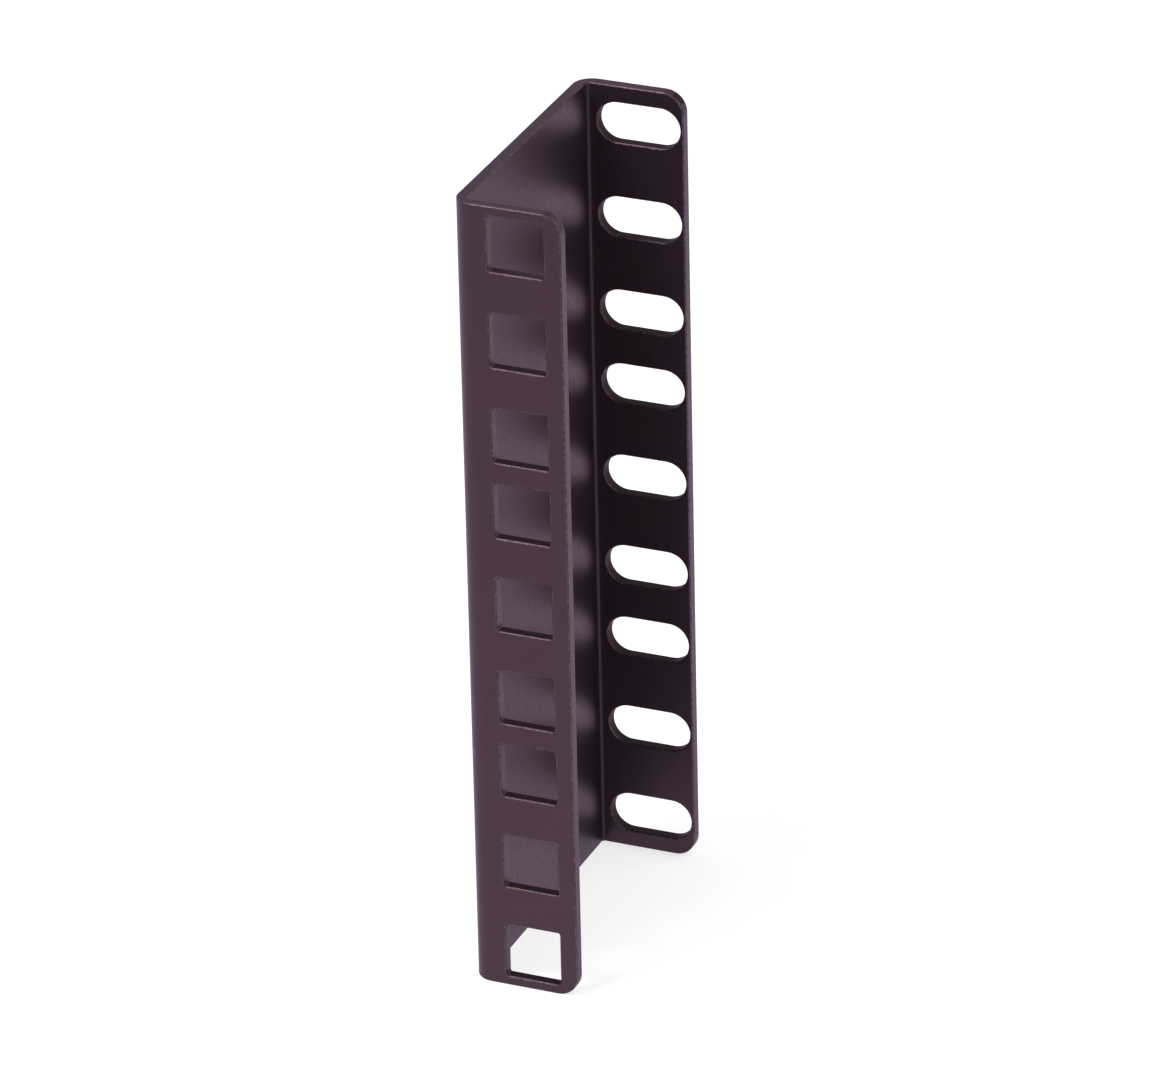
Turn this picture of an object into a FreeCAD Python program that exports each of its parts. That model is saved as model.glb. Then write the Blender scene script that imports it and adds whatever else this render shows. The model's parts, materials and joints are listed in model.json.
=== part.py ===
"""Rack depth extender: one folded sheet-steel channel, three rack units tall.

The web stands at -X. The front flange faces -Y and has square cage-nut holes, and the rear
flange faces +Y and has horizontal screw slots, in the same rows. The free edges of both
flanges are at +X. The origin is the middle of the underside, +Z is up, and sizes are in
millimetres.
"""

import FreeCAD
import Part
import math
import os

# Rack standard
UNIT_HEIGHT = 44.45              # of one rack unit
UNIT_COUNT = 3
ROW_PITCH = UNIT_HEIGHT * 5 / 14 # between the three hole rows of one unit, centred in the unit
END_CLEARANCE = 0.2              # left free at each end, so that brackets stack in one rack

# Sheet
SHEET = 1.9
BEND_INNER_RADIUS = 0.5          # pressed tight, so the sheet is stretched thinner over each bend
BEND_OUTER_RADIUS = 3.2
FLANGE_CORNER_RADIUS = 3.4       # at the four corners of the free edges

# Channel
CHANNEL_DEPTH = 50.8             # front face to rear face: how far the mounting plane moves

# Screw slots of the rear flange, which set how wide both flanges are
SLOT_LENGTH = 13.8
SLOT_WIDTH = 6.7
SLOT_TO_BEND = 0.35              # flat metal between a slot and the bend
SLOT_TO_EDGE = 0.55              # metal between a slot and the free edge

# Square holes of the front flange
SQUARE_HOLE = 9.2                # between the coated walls, and 9.5 at the broken rims
SQUARE_HOLE_CORNER_RADIUS = 0.4

# Cut edges, which are broken by a small chamfer under the coating
EDGE_BREAK = 0.15
SHARP_ANGLE = math.radians(30)   # faces that turn by less than this meet smoothly

# Working values
CUT_MARGIN = 0.2 * SHEET         # how far a cutter reaches past the sheet on each side
SAME_POINT = 1e-7                # ends closer than this are one point

# Places that follow from the sizes
HEIGHT = UNIT_COUNT * UNIT_HEIGHT - 2 * END_CLEARANCE
FLANGE_WIDTH = BEND_OUTER_RADIUS + SLOT_TO_BEND + SLOT_LENGTH + SLOT_TO_EDGE
X_WEB = -FLANGE_WIDTH / 2
X_FREE = FLANGE_WIDTH / 2
X_COLUMN = X_FREE - SLOT_TO_EDGE - SLOT_LENGTH / 2
Y_FRONT = -CHANNEL_DEPTH / 2
Y_REAR = CHANNEL_DEPTH / 2

# The metal beyond a slot's end is broken from both sides at the free edge, and from one at the bend
CHAMFER = min(EDGE_BREAK, 0.45 * SLOT_TO_EDGE, 0.9 * SLOT_TO_BEND)

ALONG_Y = FreeCAD.Vector(0, 1, 0)
ALONG_Z = FreeCAD.Vector(0, 0, 1)


def rounded_face(corners):
    """Flat face whose outline is given as (corner point, radius) pairs, with tangent arcs."""
    points = [point for point, radius in corners]
    entries = []
    exits = []
    for i, (corner, radius) in enumerate(corners):
        to_last = (points[i - 1] - corner).normalize()
        to_next = (points[(i + 1) % len(points)] - corner).normalize()
        half_angle = to_last.getAngle(to_next) / 2
        setback = radius / math.tan(half_angle)
        entries.append(corner + to_last * setback)
        exits.append(corner + to_next * setback)

    edges = []
    for i, (corner, radius) in enumerate(corners):
        if radius > 0:
            chord_middle = (entries[i] + exits[i]) / 2
            inward = chord_middle - corner
            half_chord = (exits[i] - entries[i]).Length / 2
            sagitta = radius - math.sqrt(radius ** 2 - half_chord ** 2)
            arc_middle = chord_middle - inward.normalize() * sagitta
            edges.append(Part.Arc(entries[i], arc_middle, exits[i]).toShape())
        start = exits[i]
        end = entries[(i + 1) % len(corners)]
        if not start.isEqual(end, SAME_POINT):
            edges.append(Part.LineSegment(start, end).toShape())
    return Part.Face(Part.Wire(edges))


def folded_channel():
    """The U section of the bent sheet, drawn from above and extruded to the full height."""

    def plan(x, y):
        return FreeCAD.Vector(x, y, 0)

    section = rounded_face([
        (plan(X_FREE, Y_FRONT), 0),
        (plan(X_WEB, Y_FRONT), BEND_OUTER_RADIUS),
        (plan(X_WEB, Y_REAR), BEND_OUTER_RADIUS),
        (plan(X_FREE, Y_REAR), 0),
        (plan(X_FREE, Y_REAR - SHEET), 0),
        (plan(X_WEB + SHEET, Y_REAR - SHEET), BEND_INNER_RADIUS),
        (plan(X_WEB + SHEET, Y_FRONT + SHEET), BEND_INNER_RADIUS),
        (plan(X_FREE, Y_FRONT + SHEET), 0),
    ])
    return section.extrude(ALONG_Z * HEIGHT)


def side_prism(x_low, x_high, z_low, z_high, radii, y_low, y_high):
    """Prism along Y whose side view is a rectangle with its own radius at each corner."""
    corners = [(x_low, z_low), (x_high, z_low), (x_high, z_high), (x_low, z_high)]
    outline = [(FreeCAD.Vector(x, y_low, z), radius) for (x, z), radius in zip(corners, radii)]
    return rounded_face(outline).extrude(ALONG_Y * (y_high - y_low))


def side_outline():
    """Side view of the whole bracket: square at the web, rounded at the free edges."""
    radii = [0, FLANGE_CORNER_RADIUS, FLANGE_CORNER_RADIUS, 0]
    return side_prism(X_WEB, X_FREE, 0, HEIGHT, radii, Y_FRONT, Y_REAR)


def row_heights():
    """Heights of the hole rows: three in each unit, spaced about the unit's middle."""
    heights = []
    for unit in range(UNIT_COUNT):
        unit_middle = (unit + 0.5) * UNIT_HEIGHT - END_CLEARANCE
        heights += [unit_middle - ROW_PITCH, unit_middle, unit_middle + ROW_PITCH]
    return heights


def opening_cutter(z, width, height, corner_radius, y_sheet):
    """Cutter for one opening in the column, through the sheet that starts at y_sheet."""
    return side_prism(
        X_COLUMN - width / 2, X_COLUMN + width / 2, z - height / 2, z + height / 2,
        [corner_radius] * 4, y_sheet - CUT_MARGIN, y_sheet + SHEET + CUT_MARGIN,
    )


def is_sharp(edge, solid):
    """Whether the two faces at an edge meet at an angle there, and not as a smooth bend."""
    middle = edge.valueAt((edge.FirstParameter + edge.LastParameter) / 2)
    normals = []
    for face in solid.ancestorsOfType(edge, Part.Face):
        u, v = face.Surface.parameter(middle)
        normals.append(face.normalAt(u, v))
    return normals[0].getAngle(normals[1]) > SHARP_ANGLE


def extender_bracket():
    cutters = []
    for z in row_heights():
        cutters.append(
            opening_cutter(z, SQUARE_HOLE, SQUARE_HOLE, SQUARE_HOLE_CORNER_RADIUS, Y_FRONT))
        cutters.append(
            opening_cutter(z, SLOT_LENGTH, SLOT_WIDTH, SLOT_WIDTH / 2, Y_REAR - SHEET))
    sharp_bracket = folded_channel().common(side_outline()).cut(cutters).removeSplitter().Solids[0]
    sharp_edges = [edge for edge in sharp_bracket.Edges if is_sharp(edge, sharp_bracket)]
    return sharp_bracket.makeChamfer(CHAMFER, sharp_edges).Solids[0]


os.makedirs("parts", exist_ok=True)
extender_bracket().exportStep("parts/extender_bracket.step")
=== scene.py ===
"""Looks of the rack depth extender: a folded steel bracket in a dark plum powder coat.

The bracket stands on a white table under soft studio light. Everything is in metres, in the
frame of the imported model: +Z up, the front flange at -Y, the free edges at +X.
"""

import json
import math

import bpy
from mathutils import Matrix, Vector

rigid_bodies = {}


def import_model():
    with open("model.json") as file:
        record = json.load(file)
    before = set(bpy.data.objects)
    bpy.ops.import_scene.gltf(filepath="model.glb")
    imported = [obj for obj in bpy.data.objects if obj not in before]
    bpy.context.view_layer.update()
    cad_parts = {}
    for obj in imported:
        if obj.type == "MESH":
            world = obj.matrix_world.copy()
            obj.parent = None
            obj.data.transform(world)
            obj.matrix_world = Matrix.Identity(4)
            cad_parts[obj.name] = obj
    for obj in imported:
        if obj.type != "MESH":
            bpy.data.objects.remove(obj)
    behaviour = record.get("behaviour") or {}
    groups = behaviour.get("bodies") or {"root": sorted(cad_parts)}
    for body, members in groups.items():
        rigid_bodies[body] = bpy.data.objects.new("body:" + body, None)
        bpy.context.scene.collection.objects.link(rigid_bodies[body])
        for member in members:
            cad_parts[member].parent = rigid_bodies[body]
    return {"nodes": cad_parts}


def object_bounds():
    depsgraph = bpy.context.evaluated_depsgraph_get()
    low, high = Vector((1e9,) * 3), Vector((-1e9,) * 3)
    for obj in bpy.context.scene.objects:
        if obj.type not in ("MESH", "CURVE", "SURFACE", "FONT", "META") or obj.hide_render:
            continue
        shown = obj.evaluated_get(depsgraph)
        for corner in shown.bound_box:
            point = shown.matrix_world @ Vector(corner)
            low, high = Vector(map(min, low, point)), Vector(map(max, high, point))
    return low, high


MM = 0.001

# Camera, as a line of sight from the middle of the bracket: azimuth 0 is the front, 90 the right side
CAMERA_AZIMUTH = math.radians(23.18)
CAMERA_ELEVATION = math.radians(26.22)
CAMERA_ROLL = math.radians(-1.3)
CAMERA_DISTANCE = 1.263
CAMERA_LENS = 253.1              # millimetres, on a sensor 36 mm wide
SENSOR_WIDTH = 36.0

# Powder coat
COAT_COLOUR = (0.066, 0.0385, 0.0535)
COAT_COLOUR_DEEP = (0.058, 0.034, 0.047)
COAT_METALLIC = 0.82             # the pigment has metal flakes, which give the gloss its colour
COAT_EDGE_TINT = (0.92, 0.82, 1.0)
COAT_ROUGHNESS_LOW = 0.37
COAT_ROUGHNESS_HIGH = 0.45
MOTTLE_SIZE = 9 * MM
PEEL_SIZE = 0.9 * MM
GRAIN_SIZE = 0.15 * MM
PEEL_HEIGHT = 0.0012 * MM
GRAIN_HEIGHT = 0.002 * MM
MOTTLE_DETAIL = 2.0              # octaves of finer noise
PEEL_DETAIL = 2.0
GRAIN_DETAIL = 1.0
PEEL_LOW = 0.3                   # most of the peel's noise lies between these
PEEL_HIGH = 0.7

# Coat on the edges and in the folds
EDGE_ROUNDING = 0.32 * MM
EDGE_COLOUR_AND_HIGHLIGHT = (0.40, 0.35, 0.36) # where the coat has drawn thin over an edge, lightened further as a painted highlight along the rims
EDGE_PATCH_SIZE = 0.6 * MM
EDGE_PATCH_DETAIL = 2.0
EDGE_PATCH_FROM = 0.38           # noise at which the thin coat and its painted highlight start
EDGE_PATCH_FULL = 0.72           # and at which they are strongest
EDGE_TURN_FROM = 0.985           # cosine of the turn at which an edge starts
EDGE_TURN_FULL = 0.85
FOLD_REACH = 2 * MM
FOLD_FROM = 0.8                  # share of open directions at which a fold starts
FOLD_FULL = 0.55
FOLD_ROUGHNESS = 0.95            # where the powder reaches less well
EDGE_SAMPLES = 8                 # rays that look for edges and folds

# Slot walls, which the punch leaves rough
WALL_COLOUR = (0.026, 0.0115, 0.0125)
WALL_ROUGHNESS = 0.62
WALL_GRAIN_SIZE = 0.35 * MM
WALL_GRAIN_HEIGHT = 0.03 * MM
WALL_GRAIN_DETAIL = 3.0
SKIN_FACING = 0.5                # share of a face's direction along Y from which it is a skin
BEND_ZONE = 3.5 * MM             # from the web's outer face to past the bends
EDGE_ZONE = 0.4 * MM             # along the outer edges of the sheet

# Soft boxes: a level of 1 lights a white card that faces the lamp to full white
LIGHT_DISTANCE = 0.9
KEY_AZIMUTH = math.radians(-38)
KEY_ELEVATION = math.radians(56)
KEY_SIZE = 0.3
KEY_LEVEL = 0.75
RIM_AZIMUTH = math.radians(115)
RIM_ELEVATION = math.radians(40)
RIM_SIZE = 0.6
RIM_LEVEL = 0.35

# Surroundings
WHITE = (1.0, 1.0, 1.0)
WORLD_DIFFUSE_LEVEL = 0.6        # what the room gives to matt surfaces
WALLS_UP_TO = 0.12               # height of a direction, as a sine: white walls below
CEILING_FROM = 0.40              # and a dim ceiling above
CEILING_LEVEL = 0.45
FLOOR_SIZE = 6.0
FLOOR_COLOUR = (0.40, 0.38, 0.39)
FLOOR_GLOW = 0.72                # added for the eye and for reflections, so that the open floor is white
# Painted pool of light on the floor: the glow fades from FLOOR_GLOW near GLOW_CENTRE to FLOOR_GLOW_FAR
# beyond GLOW_FADED_AT
FLOOR_GLOW_FAR = 0.40
GLOW_CENTRE = (-0.06, 0.20, 0.0)
GLOW_FULL_TO = 0.27
GLOW_FADED_AT = 0.52


def clear_scene():
    for leftover in list(bpy.data.objects):
        bpy.data.objects.remove(leftover)


def direction(azimuth, elevation):
    """Unit vector from the bracket towards an azimuth and elevation."""
    return Vector((
        math.sin(azimuth) * math.cos(elevation),
        -math.cos(azimuth) * math.cos(elevation),
        math.sin(elevation),
    ))


def add_node(tree, kind, inputs=(), **settings):
    """New node with its settings, and its inputs as (name, value or output socket) pairs."""
    node = tree.nodes.new(kind)
    for name, value in settings.items():
        setattr(node, name, value)
    for name, value in inputs:
        if isinstance(value, bpy.types.NodeSocket):
            tree.links.new(value, node.inputs[name])
        else:
            node.inputs[name].default_value = value
    return node


def empty_material(name):
    material = bpy.data.materials.new(name)
    material.use_nodes = True
    material.node_tree.nodes.clear()
    return material, material.node_tree


def colour(rgb):
    return (*rgb, 1.0)


def noise(tree, place, feature_size, detail):
    """Noise from 0 to 1 whose features are about feature_size across."""
    inputs = [("Vector", place), ("Scale", 1 / feature_size), ("Detail", detail)]
    return add_node(tree, "ShaderNodeTexNoise", inputs).outputs["Fac"]


def remap(tree, value, low, high, to_low, to_high):
    inputs = [
        ("Value", value), ("From Min", low), ("From Max", high),
        ("To Min", to_low), ("To Max", to_high),
    ]
    return add_node(tree, "ShaderNodeMapRange", inputs).outputs["Result"]


def calc(tree, operation, first, second):
    inputs = [(0, first), (1, second)]
    return add_node(tree, "ShaderNodeMath", inputs, operation=operation).outputs["Value"]


def mix_colour(tree, factor, first, second):
    inputs = [("Factor", factor), ("A", first), ("B", second)]
    return add_node(tree, "ShaderNodeMix", inputs, data_type="RGBA").outputs["Result"]


def slot_walls(tree, place, box):
    """1 on the walls of the rear flange's slots, and 0 on the skins and the outer edges of the sheet."""
    normal = add_node(tree, "ShaderNodeNewGeometry").outputs["True Normal"]
    facing = add_node(tree, "ShaderNodeSeparateXYZ", [("Vector", normal)])
    where = add_node(tree, "ShaderNodeSeparateXYZ", [("Vector", place)])
    off_skin = calc(tree, "LESS_THAN", calc(tree, "ABSOLUTE", facing.outputs["Y"], 0.0), SKIN_FACING)
    limits = [
        calc(tree, "GREATER_THAN", where.outputs["X"], box[0].x + BEND_ZONE),
        calc(tree, "LESS_THAN", where.outputs["X"], box[1].x - EDGE_ZONE),
        calc(tree, "GREATER_THAN", where.outputs["Y"], 0.0),
        calc(tree, "GREATER_THAN", where.outputs["Z"], box[0].z + EDGE_ZONE),
        calc(tree, "LESS_THAN", where.outputs["Z"], box[1].z - EDGE_ZONE),
    ]
    inside = off_skin
    for limit in limits:
        inside = calc(tree, "MULTIPLY", inside, limit)
    return inside


def inner_folds(tree):
    """1 deep in the inner corners, and 0 on open surfaces."""
    openness = add_node(
        tree, "ShaderNodeAmbientOcclusion", [("Distance", FOLD_REACH)],
        samples=EDGE_SAMPLES, only_local=True).outputs["AO"]
    return remap(tree, openness, FOLD_FROM, FOLD_FULL, 0.0, 1.0)


def outer_edges(tree, rounded_normal, fold):
    """1 along the rounded edges of the sheet, and 0 on flat skins and in inner corners."""
    flat_normal = add_node(tree, "ShaderNodeNewGeometry").outputs["True Normal"]
    agreement = add_node(
        tree, "ShaderNodeVectorMath", [(0, rounded_normal), (1, flat_normal)],
        operation="DOT_PRODUCT").outputs["Value"]
    edge = remap(tree, agreement, EDGE_TURN_FROM, EDGE_TURN_FULL, 0.0, 1.0)
    return calc(tree, "MULTIPLY", edge, calc(tree, "SUBTRACT", 1.0, fold))


def powder_coat(box):
    """Satin powder coat with orange peel and grain: mottled, thin on edges with a painted highlight there,
    rough in folds and slots.
    """
    material, tree = empty_material("powder_coat_finish")
    place = add_node(tree, "ShaderNodeTexCoord").outputs["Object"]
    mottle = noise(tree, place, MOTTLE_SIZE, MOTTLE_DETAIL)
    peel = noise(tree, place, PEEL_SIZE, PEEL_DETAIL)
    grain = noise(tree, place, GRAIN_SIZE, GRAIN_DETAIL)
    wall_grain = noise(tree, place, WALL_GRAIN_SIZE, WALL_GRAIN_DETAIL)
    wall = slot_walls(tree, place, box)

    rounded = add_node(
        tree, "ShaderNodeBevel", [("Radius", EDGE_ROUNDING)], samples=EDGE_SAMPLES).outputs["Normal"]
    fold = inner_folds(tree)
    edge_noise = noise(tree, place, EDGE_PATCH_SIZE, EDGE_PATCH_DETAIL)
    edge_patches = remap(tree, edge_noise, EDGE_PATCH_FROM, EDGE_PATCH_FULL, 0.0, 1.0)
    # Thin coat along the rounded edges, in patches, also a painted highlight on the rims and hole lips
    thin_coat_and_highlight = calc(tree, "MULTIPLY", outer_edges(tree, rounded, fold), edge_patches)

    skin_colour = mix_colour(tree, mottle, colour(COAT_COLOUR_DEEP), colour(COAT_COLOUR))
    edged_colour = mix_colour(tree, thin_coat_and_highlight, skin_colour, colour(EDGE_COLOUR_AND_HIGHLIGHT))
    surface_colour = mix_colour(tree, wall, edged_colour, colour(WALL_COLOUR))
    skin_roughness = remap(tree, peel, PEEL_LOW, PEEL_HIGH, COAT_ROUGHNESS_LOW, COAT_ROUGHNESS_HIGH)
    fold_roughness = remap(tree, fold, 0.0, 1.0, skin_roughness, FOLD_ROUGHNESS)
    roughness = remap(tree, wall, 0.0, 1.0, fold_roughness, WALL_ROUGHNESS)

    peel_bump = add_node(tree, "ShaderNodeBump", [
        ("Distance", PEEL_HEIGHT), ("Height", peel), ("Normal", rounded)])
    grain_bump = add_node(tree, "ShaderNodeBump", [
        ("Distance", GRAIN_HEIGHT), ("Height", grain), ("Normal", peel_bump.outputs["Normal"])])
    wall_bump = add_node(tree, "ShaderNodeBump", [
        ("Strength", wall), ("Distance", WALL_GRAIN_HEIGHT), ("Height", wall_grain),
        ("Normal", grain_bump.outputs["Normal"])])

    shader = add_node(tree, "ShaderNodeBsdfPrincipled", [
        ("Base Color", surface_colour), ("Roughness", roughness), ("Normal", wall_bump.outputs["Normal"]),
        ("Metallic", COAT_METALLIC), ("Specular Tint", colour(COAT_EDGE_TINT))])
    add_node(tree, "ShaderNodeOutputMaterial", [("Surface", shader.outputs["BSDF"])])
    return material


def seen_directly(tree):
    """1 for the eye, for reflections and for what is seen through glass; 0 for scattered light."""
    path = add_node(tree, "ShaderNodeLightPath")
    seen = path.outputs["Is Camera Ray"]
    for kind in ("Is Glossy Ray", "Is Transmission Ray"):
        seen = calc(tree, "MAXIMUM", seen, path.outputs[kind])
    return seen


def white_world():
    world = bpy.data.worlds.new("white_room")
    world.use_nodes = True
    tree = world.node_tree
    tree.nodes.clear()
    towards = add_node(tree, "ShaderNodeTexCoord").outputs["Generated"]
    height = add_node(tree, "ShaderNodeSeparateXYZ", [("Vector", towards)]).outputs["Z"]
    room = remap(tree, height, WALLS_UP_TO, CEILING_FROM, 1.0, CEILING_LEVEL)
    level = remap(tree, seen_directly(tree), 0.0, 1.0, WORLD_DIFFUSE_LEVEL, room)
    inputs = [("Color", colour(WHITE)), ("Strength", level)]
    background = add_node(tree, "ShaderNodeBackground", inputs)
    add_node(tree, "ShaderNodeOutputWorld", [("Surface", background.outputs["Background"])])
    bpy.context.scene.world = world


def white_floor():
    bpy.ops.mesh.primitive_plane_add(size=FLOOR_SIZE)
    floor = bpy.context.object
    floor.name = "floor"
    material, tree = empty_material("white_table")
    matt = add_node(tree, "ShaderNodeBsdfDiffuse", [("Color", colour(FLOOR_COLOUR))])
    place = add_node(tree, "ShaderNodeTexCoord").outputs["Object"]
    # Painted pool of light: the floor's glow, seen by the eye and in reflections, fades with distance from
    # GLOW_CENTRE
    inputs = [(0, place), (1, GLOW_CENTRE)]
    distance = add_node(tree, "ShaderNodeVectorMath", inputs, operation="DISTANCE").outputs["Value"]
    painted_light_pool = remap(tree, distance, GLOW_FULL_TO, GLOW_FADED_AT, FLOOR_GLOW, FLOOR_GLOW_FAR)
    glow_level = remap(tree, seen_directly(tree), 0.0, 1.0, 0.0, painted_light_pool)
    glow = add_node(tree, "ShaderNodeEmission", [("Strength", glow_level)])
    both = add_node(tree, "ShaderNodeAddShader", [(0, matt.outputs["BSDF"]), (1, glow.outputs["Emission"])])
    add_node(tree, "ShaderNodeOutputMaterial", [("Surface", both.outputs["Shader"])])
    floor.data.materials.append(material)


def soft_light(name, target, azimuth, elevation, size, level):
    """Square soft box that faces the target."""
    lamp = bpy.data.lights.new(name, "AREA")
    lamp.size = size
    lamp.energy = level * (math.pi * LIGHT_DISTANCE) ** 2
    box = bpy.data.objects.new(name, lamp)
    outward = direction(azimuth, elevation)
    box.location = target + outward * LIGHT_DISTANCE
    box.rotation_euler = outward.to_track_quat("Z", "Y").to_euler()
    box.visible_camera = False
    bpy.context.scene.collection.objects.link(box)


def photo_camera(target):
    lens = bpy.data.cameras.new("camera")
    lens.sensor_width = SENSOR_WIDTH
    lens.lens = CAMERA_LENS
    camera = bpy.data.objects.new("camera", lens)
    outward = direction(CAMERA_AZIMUTH, CAMERA_ELEVATION)
    turn = outward.to_track_quat("Z", "Y").to_matrix().to_4x4()
    tilt = Matrix.Rotation(CAMERA_ROLL, 4, "Z")
    camera.matrix_world = Matrix.Translation(target + outward * CAMERA_DISTANCE) @ turn @ tilt
    bpy.context.scene.collection.objects.link(camera)
    bpy.context.scene.camera = camera


clear_scene()
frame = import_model()
cad_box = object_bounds()
middle = (cad_box[0] + cad_box[1]) / 2

bracket = frame["nodes"]["extender_bracket"]
bracket.data.materials[0] = powder_coat(cad_box)

white_world()
white_floor()
soft_light("key", middle, KEY_AZIMUTH, KEY_ELEVATION, KEY_SIZE, KEY_LEVEL)
soft_light("rim", middle, RIM_AZIMUTH, RIM_ELEVATION, RIM_SIZE, RIM_LEVEL)
photo_camera(middle)
bpy.context.scene.view_settings.view_transform = "Standard"
